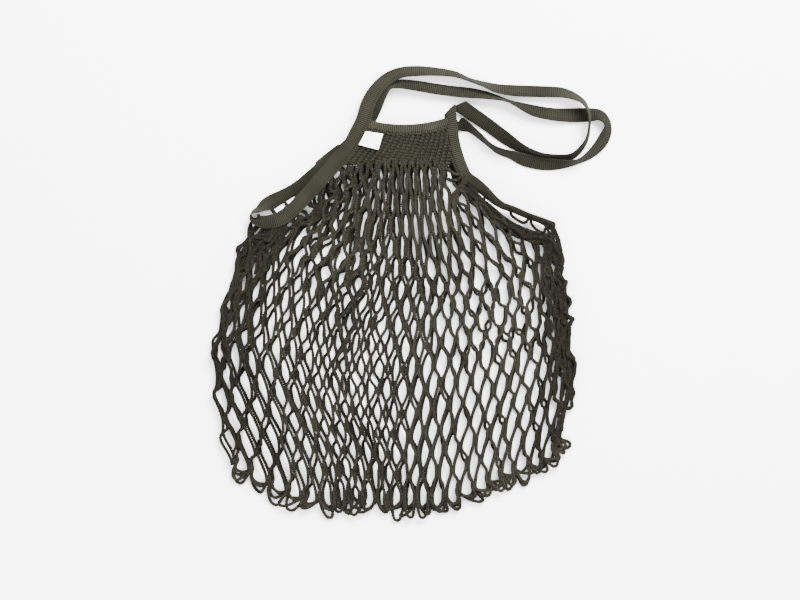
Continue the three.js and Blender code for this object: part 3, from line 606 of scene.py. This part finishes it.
FOOT_THREADS = (
    ((-160, 77.0, 9.0), (-163, 70.0, 8.0), (-169, 62.0, 7.0), (-175, 46.0, 6.0), (-180, 26.0, 6.0)),
    ((-155, 77.0, 9.0), (-157, 69.0, 8.0), (-161, 60.0, 7.0), (-166, 44.0, 7.0), (-171, 22.0, 6.0)),
    ((-149, 77.0, 10.0), (-151, 69.0, 9.0), (-155, 59.0, 8.0), (-160, 42.0, 7.0), (-165, 20.0, 7.0)),
    ((-143, 78.0, 10.0), (-145, 70.0, 9.0), (-148, 60.0, 8.0), (-153, 42.0, 8.0), (-157, 24.0, 7.0)),
    ((-137, 80.0, 10.0), (-139, 71.0, 9.0), (-142, 61.0, 9.0), (-146, 44.0, 8.0), (-151, 28.0, 8.0)),
    ((-130, 84.0, 10.0), (-133, 74.0, 9.0), (-136, 64.0, 9.0), (-141, 48.0, 8.0), (-144, 34.0, 8.0)),
)
# Each foot thread is laid twice: how far it strays, and between which heights it lies
FOOT_LAYERS = ((1.6, (6.0, 10.0)), (2.2, (4.0, 8.0)))
# The curls: how long each wave is, and its share of the reach
CURLS = ((46.0, 0.8), (21.0, 0.45))
CURL_UNEVEN = (0.8, 1.2)
CURL_STEP = 6.0


def curled(course, dice, reach, level):
    """A cord along a course that strays from it in slow curls, but not at its ends."""
    spread = rounded_course(course, CURL_STEP)
    along = lengths_along(spread)
    held = np.sin(pi * np.clip(along / along[-1], 0, 1)) ** 0.4
    for axis in (0, 1):
        for length, share in CURLS:
            wave = np.sin(2 * pi * along / (length * dice.uniform(*CURL_UNEVEN)) + dice.uniform(0, 2 * pi))
            spread[:, axis] += wave * reach * share * held
    spread[:, 2] += (level - spread[:, 2]) * held + dice.normal(size=len(spread)) * 0.3
    return spread


# A darker copy of the net's cotton for the side strands: painted shade, where the bunched cords shade one
# another
shaded_side_cotton = stitched_cotton(
    "shaded_side_cotton", (0.0003, 0.0003, 0.0002), (0.0135, 0.0124, 0.0088), NET_STITCH, NET_SLANT, 0.0008, 2.2
)
for side, bunch in BUNCHES.items():
    dice = np.random.default_rng(bunch["seed"])
    courses = [walls[wall][chain] for wall in walls for chain in bunch["own"]]
    for count, chain in enumerate(bunch["chains"]):
        course = walls["front" if count % 2 else "back"][chain]
        rows = dice.integers(*bunch["rows"])
        courses.append(curled(course[: 3 * rows + 2], dice, BUNCH_CURL, dice.uniform(*BUNCH_HEIGHTS)))
    if side == "right":
        slit = np.array(SLIT_COURSES["right_back"], dtype=float)[2:, :3]
        side_run = walls["back"][CHAINS - 1][2:9]
        for strand in range(SLIT_BUNDLE):
            aside = dice.uniform(-BUNDLE_WIDTH, BUNDLE_WIDTH), dice.uniform(-BUNDLE_WIDTH, BUNDLE_WIDTH)
            course = np.vstack([slit + np.array([*aside, 0.0]), side_run])
            courses.append(curled(course, dice, BUNDLE_CURL, dice.uniform(*BUNDLE_HEIGHTS)))
        courses += SLIT_THREADS
    else:
        for chain in SLIT_FAN:
            rows = dice.integers(*FAN_ROWS) + max(chain - 9, 0)
            course = walls["front"][chain][: 3 * rows + 2]
            courses.append(curled(course, dice, FAN_CURL, dice.uniform(*FAN_HEIGHTS)))
        for thread, (reach, heights) in product(FOOT_THREADS, FOOT_LAYERS):
            courses.append(curled(np.array(thread), dice, reach, dice.uniform(*heights)))
    piece = join_rings(f"{side}_side_strands", cord_runs(courses), shaded_side_cotton)
    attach(piece, "root")
    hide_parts(bunch["node"])

# The bottom: each mesh of the last row closes in a loop of the same knitted cord, which hangs free where
# the walls meet. Long and short loops lie over one another, each leaning its own way.
LOOP_DROP = 18.0
LOOP_SHARES = (1.0, 0.6)
LOOP_UNEVEN = (0.6, 1.2)
LOOP_LEAN = 4.5
LOOP_HEIGHT, LOOP_LOWER, LOOP_HIGHER = 4.5, -2.5, 3.5
LOOP_THICKER = 1.02
# The loop's corners: how far across it, how far down, and how much of its lean each has
LOOP_SHOULDER, LOOP_TURN = (0.08, 0.55, 0.4), (0.34, 0.96, 1.0)
loops = []
for wall, layer in LAYERS.items():
    dice = np.random.default_rng(layer["seed"] + 5)
    courses = walls[wall]
    ends = [courses[chain][-1] for chain in range(CHAINS)]
    for share, chain in product(LOOP_SHARES, range(1, CHAINS - 1, 2)):
        left, right = ends[chain], ends[chain + 1]
        span = right - left
        width = np.linalg.norm(span[:2])
        out = np.array([span[1], -span[0]]) / width
        drop = LOOP_DROP * share * dice.uniform(*LOOP_UNEVEN)
        lean = span[:2] / width * dice.normal() * LOOP_LEAN
        level = LOOP_HEIGHT + dice.uniform(LOOP_LOWER, LOOP_HIGHER)
        corners = []
        for (across, down, leaning), height in (
            (LOOP_SHOULDER, (left[2] + level) / 2),
            (LOOP_TURN, level),
            ((1 - LOOP_TURN[0], *LOOP_TURN[1:]), level),
            ((1 - LOOP_SHOULDER[0], *LOOP_SHOULDER[1:]), (right[2] + level) / 2),
        ):
            place = left[:2] + span[:2] * across + out * drop * down + lean * leaning
            corners.append(np.array([*place, height]))
        loops.append([courses[chain][-2], left, *corners, right, courses[chain + 1][-2]])
piece = join_rings("hanging_loops", cord_runs(loops, CORD_RADIUS * LOOP_THICKER), net_cotton)
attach(piece, "root")
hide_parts("bottom_loops")

# The neck's ribs: the net's cotton cords drawn together and knitted into thick braid-like ribs, which
# lean a little to the left and run up under the neck's tape.
RIBS = 18
RIB_TOP = {"left": (-44.0, 176.0), "right": (48.0, 179.0), "sag": 8.5}
RIB_FEET = {"left": (-70.0, 138.5), "right": (42.0, 137.5), "sag": 0.5}
RIB_LEVEL = {"front": 11.4, "back": 2.7}
RIB_START = {"front": 0.5, "back": 0.05}
RIB_BEND, RIB_UNEVEN, RIB_TAIL = 1.2, 0.06, 0.05
RIB_SIDES = 12
# Each rib's two cords, a smooth ridge and a knotted one beside it: aside, down, radius, bulge and step
RIB_CORDS = ((-0.9, 0.8, 1.35, 0.03, 1.3), (1.7, -1.9, 1.45, 0.25, 1.75))
rib_cotton = stitched_cotton(
    "rib_cotton", (0.0007, 0.0006, 0.0005), (0.0285, 0.0267, 0.0185), 3.5, 0.5, 0.0006, 0.9
)


def line_place(line, share):
    """A place on the sagging line that the ribs' tops or feet stand on."""
    left, right = np.array(line["left"]), np.array(line["right"])
    return left + (right - left) * share - np.array([0.0, 4 * line["sag"] * share * (1 - share)])


for wall in walls:
    runs = []
    for rib in range(RIBS):
        share = (rib + RIB_START[wall]) / RIBS
        top, foot = line_place(RIB_TOP, share), line_place(RIB_FEET, share)
        bend = (top + foot) / 2 + np.array([RIB_BEND, 0.0])
        top = top + (top - foot) * RIB_UNEVEN * (rib * 0.7 % 1.0)
        below = foot + (foot - top) * RIB_TAIL
        for aside, down, radius, knots, step in RIB_CORDS:
            course = [[x + aside, y, RIB_LEVEL[wall] + down] for x, y in (top, bend, foot, below)]
            runs.append(cord_rings(rounded_course(np.array(course), step), radius, RIB_SIDES, knots))
    piece = join_rings(f"{wall}_neck_ribs", runs, rib_cotton)
    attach(piece, "root")
    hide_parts(f"{wall}_rib_band")

# The tape: one long knitted cotton band, cross ribbed, with soft rolled edges. It is folded over the
# net's edge along both slits and sewn down, and goes on past the neck as the two handles.
TAPE_WIDTH = 15.5
TAPE_THICKNESS = 2.0
TAPE_STEP = 1.6
TAPE_AROUND = 20
# The band's section: how square its edges and its faces are, and how much thicker it is at the edges
EDGE_SQUARE, FACE_SQUARE = 0.55, 0.6
MIDDLE_THICK, EDGE_THICKER = 0.86, 0.3
# How far from its ends the band rounds off, and how far back an end cut askew reaches
END_ROUND, ASKEW_REACH = 4.0, 16.0
HANDLE_COURSES = {
    "front": [
        (-50.5, 182.8, 13.2, 0), (-44.6, 201.3, 12.6, 0), (-35.8, 216.0, 10.8, -16),
        (-23.5, 227.8, 8.9, -27), (-10.0, 234.0, 7.2, -37), (5.6, 235.6, 6.2, -40), (25.6, 235.0, 6.7, -50),
        (47.2, 232.1, 7.3, -61), (61.7, 226.6, 7.6, -70), (75.7, 222.1, 7.4, -64), (91.7, 217.2, 6.3, -47),
        (111.2, 214.9, 5.3, -35), (140.8, 213.8, 5.5, -35), (160.3, 212.6, 7.0, -41),
        (171.8, 208.9, 9.8, -52), (182.8, 201.4, 13.8, -66), (188.3, 190.9, 15.6, -76),
        (188.9, 175.9, 13.7, -78), (186.4, 162.3, 9.4, -76), (179.4, 151.7, 7.8, -70),
        (169.9, 144.6, 7.8, -68), (156.9, 144.1, 7.8, -74), (140.4, 146.1, 7.9, -78),
        (127.5, 150.1, 7.8, -74), (116.0, 154.6, 7.0, -57), (98.0, 166.8, 5.1, -33),
        (79.5, 180.5, 5.2, -28), (62.6, 191.8, 7.1, -20), (54.2, 197.2, 8.6, -16), (49.6, 199.8, 9.4, -14),
    ],
    "back": [
        (-44.1, 185.6, 1.2, 0), (-37.2, 198.4, 3.6, -20), (-30.0, 211.2, 6.2, -45),
        (-23.2, 219.2, 7.2, -58), (-13.6, 221.6, 7.0, -50), (3.6, 220.4, 5.8, -41), (23.4, 217.2, 5.6, -38),
        (42.6, 214.5, 5.6, -38), (62.4, 212.3, 5.8, -41), (77.8, 210.2, 6.7, -52), (92.1, 207.1, 7.5, -66),
        (103.0, 203.9, 7.8, -76), (114.8, 199.3, 7.3, -61), (130.6, 193.7, 5.3, -35),
        (150.4, 190.0, 4.2, -25), (169.7, 189.0, 2.6, -12), (188.4, 189.4, 2.6, -12),
        (202.0, 188.2, 5.7, -40), (209.2, 178.4, 7.2, -56), (204.8, 163.4, 5.3, -35),
        (192.6, 149.0, 6.7, -52), (177.1, 139.4, 7.8, -74), (160.4, 136.6, 7.0, -56),
        (140.2, 137.4, 4.7, -30), (122.0, 141.2, 4.7, -30), (108.8, 145.8, 7.0, -57),
        (92.1, 151.5, 7.6, -70), (84.0, 156.9, 7.8, -78), (73.3, 166.3, 7.7, -72), (61.7, 175.6, 7.2, -59),
        (50.5, 181.0, 4.2, -5),
    ],
}


def tape_shape(name, course, width=TAPE_WIDTH, slant=0.0):
    """A band swept along a course: a grid rolled up into a flat tube with rounded, slightly thicker
    edges. With a slant its first end is cut askew, where the tape is folded back on itself."""
    spread = rounded_course(np.array(course, dtype=float), TAPE_STEP)
    along, turn = spread[:, :3].copy(), spread[:, 3]
    tangent = np.gradient(along, axis=0)
    tangent /= np.linalg.norm(tangent, axis=1)[:, None]
    level = np.cross([0.0, 0.0, 1.0], tangent)
    level /= np.linalg.norm(level, axis=1)[:, None]
    roll = np.radians(turn)[:, None]
    across = level * np.cos(roll) + np.cross(tangent, level) * np.sin(roll)
    face = np.cross(tangent, across)
    shape = bmesh.new()
    shape.loops.layers.uv.new("UVMap")
    bmesh.ops.create_grid(shape, x_segments=TAPE_AROUND, y_segments=len(along) - 1, size=0.5, calc_uvs=True)
    lay = shape.verts.layers.float_vector.new("lay")
    length = lengths_along(along)
    from_end = np.minimum(length, length[-1] - length) / END_ROUND
    if slant:
        from_end[: len(length) // 2] = 1.0
    narrowed = np.sqrt(1 - (1 - np.clip(from_end, 0.12, 1)) ** 2)
    skew = slant * np.clip(1 - length / ASKEW_REACH, 0, 1)
    lowest = np.abs(across[:, 2]) * width / 2 + np.abs(face[:, 2]) * TAPE_THICKNESS / 2 + FLOOR_CLEARANCE
    along[:, 2] = np.maximum(along[:, 2], lowest)
    for vertex in shape.verts:
        angle = (vertex.co.x + 0.5) * 2 * pi
        ring = int(round((vertex.co.y + 0.5) * (len(along) - 1)))
        wide = np.sign(cos(angle)) * abs(cos(angle)) ** EDGE_SQUARE
        rolled = MIDDLE_THICK + EDGE_THICKER * abs(wide) ** 6
        high = np.sign(sin(angle)) * abs(sin(angle)) ** FACE_SQUARE * rolled
        half = width / 2 * narrowed[ring]
        place = along[ring] + (across[ring] + tangent[ring] * skew[ring]) * wide * half
        place += face[ring] * high * TAPE_THICKNESS / 2
        vertex.co = Vector(place) * MM
        vertex[lay] = Vector((wide, high, length[ring]))
    bmesh.ops.remove_doubles(shape, verts=shape.verts, dist=0.00002)
    bmesh.ops.holes_fill(shape, edges=[edge for edge in shape.edges if edge.is_boundary], sides=0)
    bmesh.ops.recalc_face_normals(shape, faces=shape.faces)
    mesh = bpy.data.meshes.new(name)
    shape.to_mesh(mesh)
    shape.free()
    mesh.polygons.foreach_set("use_smooth", np.ones(len(mesh.polygons), dtype=bool))
    piece = bpy.data.objects.new(name, mesh)
    bpy.context.scene.collection.objects.link(piece)
    return piece


RIB_SPACING = 2.02
WALES = 11.0
SEAM_STEEPNESS, SEAM_SOFTNESS, SEAM_SUNK = 7.0, 0.2, 2.0
# What a tape's tone is mixed from: its ribs and wales, painted as light ridges with painted shade in their
# grooves, its specks and patches, and what darkens it
RIB_TONE, WALE_TONE, TAPE_SPECKS, TAPE_PATCHES, TAPE_DARKER = 0.95, 0.2, 1.1, 0.9, 0.05
TAPE_FUZZ, TAPE_RELIEF, TAPE_DEPTH = 0.4, 0.8, 0.0003


def knitted_tape(name, shade, light, seam_at, seam_depth):
    """Cross-ribbed knitted cotton: fine ribs across and faint wales along, with painted shade in their
    grooves, and a line of sewing.
    """
    material, tree, ramp, bump, lint, lay = cotton_material(name, shade, light, 0.9, 0.02, TAPE_LINT)
    split = tree.nodes.new("ShaderNodeSeparateXYZ")
    tree.links.new(lay.outputs["Vector"], split.inputs[0])
    across, along = split.outputs[0], split.outputs[2]
    rib_wave = math_node(tree, "SINE", math_node(tree, "MULTIPLY", along, pi / RIB_SPACING))
    rib = math_node(tree, "MULTIPLY", math_node(tree, "POWER", rib_wave, 2.0), RIB_TONE)
    wale_wave = math_node(tree, "SINE", math_node(tree, "MULTIPLY", across, WALES))
    wale = math_node(tree, "MULTIPLY", math_node(tree, "ABSOLUTE", wale_wave), WALE_TONE)
    knit = math_node(tree, "ADD", rib, wale)
    from_seam = math_node(tree, "ABSOLUTE", math_node(tree, "SUBTRACT", across, seam_at))
    steep = math_node(tree, "MULTIPLY", from_seam, SEAM_STEEPNESS)
    beside = math_node(tree, "SMOOTH_MIN", steep, 1.0, SEAM_SOFTNESS)
    seam = math_node(tree, "MULTIPLY", math_node(tree, "SUBTRACT", 1.0, beside), seam_depth)
    specks = off_middle(tree, lint.outputs["Fibre"], 0.5, TAPE_SPECKS)
    patches = off_middle(tree, lint.outputs["Patch"], 0.5, TAPE_PATCHES)
    dyed = math_node(tree, "ADD", specks, patches)
    # The ribs' and wales' relief goes into the colour too: painted shade in their grooves
    tone = math_node(tree, "ADD", math_node(tree, "SUBTRACT", knit, TAPE_DARKER), dyed)
    tree.links.new(math_node(tree, "SUBTRACT", tone, seam), ramp.inputs["Factor"])
    fuzz = math_node(tree, "MULTIPLY", lint.outputs["Fibre"], TAPE_FUZZ)
    raised = math_node(tree, "ADD", knit, fuzz)
    sunk = math_node(tree, "MULTIPLY", seam, SEAM_SUNK)
    tree.links.new(math_node(tree, "SUBTRACT", raised, sunk), bump.inputs["Height"])
    bump.inputs["Strength"].default_value = TAPE_RELIEF
    bump.inputs["Distance"].default_value = TAPE_DEPTH
    return material


tape_cotton = knitted_tape("tape_cotton", (0.0004, 0.0004, 0.0002), (0.0142, 0.0138, 0.0094), 0.62, 0.25)
# The same tape in a lighter copy of its colour, with a line of sewing: painted light on the right front slit
# tape and the neck tapes
lit_sewn_tape_cotton = knitted_tape(
    "lit_sewn_tape_cotton", (0.0005, 0.0005, 0.0003), (0.0215, 0.0209, 0.0143), -0.55, 0.6
)

# The long tape's one course: the front handle, the left slit down and up round its foot, the back one
long_course = [(x, y, z, -turn) for x, y, z, turn in reversed(HANDLE_COURSES["front"])]
long_course += SLIT_COURSES["left_front"][1:]
long_course += [(-168, 78.6, 8.6, 76), (-169.4, 83.2, 8.4, 92), (-166.4, 86.6, 8.2, 106)]
long_course += [(x, y, z, 180 - turn) for x, y, z, turn in reversed(SLIT_COURSES["left_back"][1:])]
long_course += [(x, y, z, 180 + turn) for x, y, z, turn in HANDLE_COURSES["back"]]
for name, course, nodes, material, slant in (
    (
        "long_tape", long_course,
        ("left_front_binding", "left_back_binding", "front_handle", "back_handle"), tape_cotton, 0.75,
    ),
    ("right_front_slit_tape", SLIT_COURSES["right_front"], ("right_front_binding",), lit_sewn_tape_cotton, -0.5),
    ("right_back_slit_tape", SLIT_COURSES["right_back"], ("right_back_binding",), tape_cotton, 0.0),
):
    piece = tape_shape(name, course, slant=slant)
    piece.data.materials.append(material)
    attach(piece, "root")
    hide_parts(*nodes)

# The neck's bindings: a shorter length of the same knitted tape, folded and sewn over the top of the ribs
# of each wall. Its ends run in under the slit tapes.
NECK_BAND_WIDTH = 11.5
NECK_BAND_SAG = 28.0
NECK_BAND_DOWN = 5.5
NECK_BAND_STEPS = 8
for name, node, level, ends in (
    ("front_neck_tape", "front_neck_binding", 11.6, ((-49.0, 184.0), (42.0, 186.5))),
    ("back_neck_tape", "back_neck_binding", 3.4, ((-44.0, 184.0), (41.0, 184.0))),
):
    course = []
    for step in range(NECK_BAND_STEPS + 1):
        share = step / NECK_BAND_STEPS
        x = ends[0][0] + (ends[1][0] - ends[0][0]) * share
        y = ends[0][1] + (ends[1][1] - ends[0][1]) * share
        course.append((x, y - NECK_BAND_DOWN - NECK_BAND_SAG * share * (1 - share), level, 0))
    piece = tape_shape(name, course, NECK_BAND_WIDTH)
    piece.data.materials.append(lit_sewn_tape_cotton)
    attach(piece, "root")
    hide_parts(node)

# The join: where the long tape's two ends meet, one is lapped over the other and sewn down on the left
# back binding. It is the same knitted tape, a little wider where it is pressed flat.
LAPPED_WIDTH = 17.0
LAPPED_LEVEL = 3.5
LAPPED_COURSE = [
    (x, y, LAPPED_LEVEL, 0) for x, y in ((-98.2, 130.8), (-89.2, 138.2), (-80.0, 145.6), (-70.0, 153.4))
]
piece = tape_shape("lapped_tape_end", LAPPED_COURSE, LAPPED_WIDTH)
piece.data.materials.append(tape_cotton)
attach(piece, "root")
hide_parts("tape_join")

# The label: a bare white ribbon of fine woven cotton, folded under at its ends and sewn on the front
# ribs. It lies a little askew and wavy, wider at its foot than at its top.
label_low, label_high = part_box("sewn_label")
label_middle = (Vector(label_low) + Vector(label_high)) / 2
LABEL_SIZE = (0.0198, 0.0163, 0.0009)
LABEL_OFFSET = (-0.0011, -0.0004, 0.0006)
LABEL_TURN = -12
LABEL_NARROWING, LABEL_LEAN, LABEL_FANNING = 0.14, 0.18, 0.12
LABEL_COLOUR = (0.84, 0.82, 0.8, 1.0)
shape = bmesh.new()
bmesh.ops.create_grid(shape, x_segments=22, y_segments=16, size=0.5)
for vertex in shape.verts:
    x, y = vertex.co.x, vertex.co.y
    vertex.co.z = 0.0004 * cos(2.2 * x) + 0.00025 * sin(5 * x + 2 * y)
    vertex.co.x = x * LABEL_SIZE[0] * (1 - LABEL_NARROWING * y) + LABEL_LEAN * y * LABEL_SIZE[1]
    vertex.co.y = y * LABEL_SIZE[1] * (1 + LABEL_FANNING * x)
bmesh.ops.solidify(shape, geom=shape.verts[:] + shape.edges[:] + shape.faces[:], thickness=LABEL_SIZE[2])
bmesh.ops.recalc_face_normals(shape, faces=shape.faces)
bmesh.ops.rotate(shape, verts=shape.verts, matrix=Matrix.Rotation(radians(LABEL_TURN), 3, "Z"))
label_place = Vector((label_middle.x, label_middle.y, label_low[2])) + Vector(LABEL_OFFSET)
bmesh.ops.translate(shape, verts=shape.verts, vec=label_place)
label_mesh = bpy.data.meshes.new("woven_label")
shape.to_mesh(label_mesh)
shape.free()
label = bpy.data.objects.new("woven_label", label_mesh)
bpy.context.scene.collection.objects.link(label)
label_cotton = bpy.data.materials.new("label_cotton")
label_cotton.use_nodes = True
tree = label_cotton.node_tree
shader = tree.nodes["Principled BSDF"]
shader.inputs["Roughness"].default_value = 0.75
shader.inputs["Base Color"].default_value = LABEL_COLOUR
place = tree.nodes.new("ShaderNodeTexCoord")
weave = tree.nodes.new("ShaderNodeTexWave")
weave.inputs["Scale"].default_value = 900.0
tree.links.new(place.outputs["Object"], weave.inputs["Vector"])
bump = tree.nodes.new("ShaderNodeBump")
bump.inputs["Strength"].default_value = 0.4
bump.inputs["Distance"].default_value = 0.0002
tree.links.new(weave.outputs["Fac"], bump.inputs["Height"])
tree.links.new(bump.outputs["Normal"], shader.inputs["Normal"])
label_mesh.materials.append(label_cotton)
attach(label, "root")
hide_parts("sewn_label")
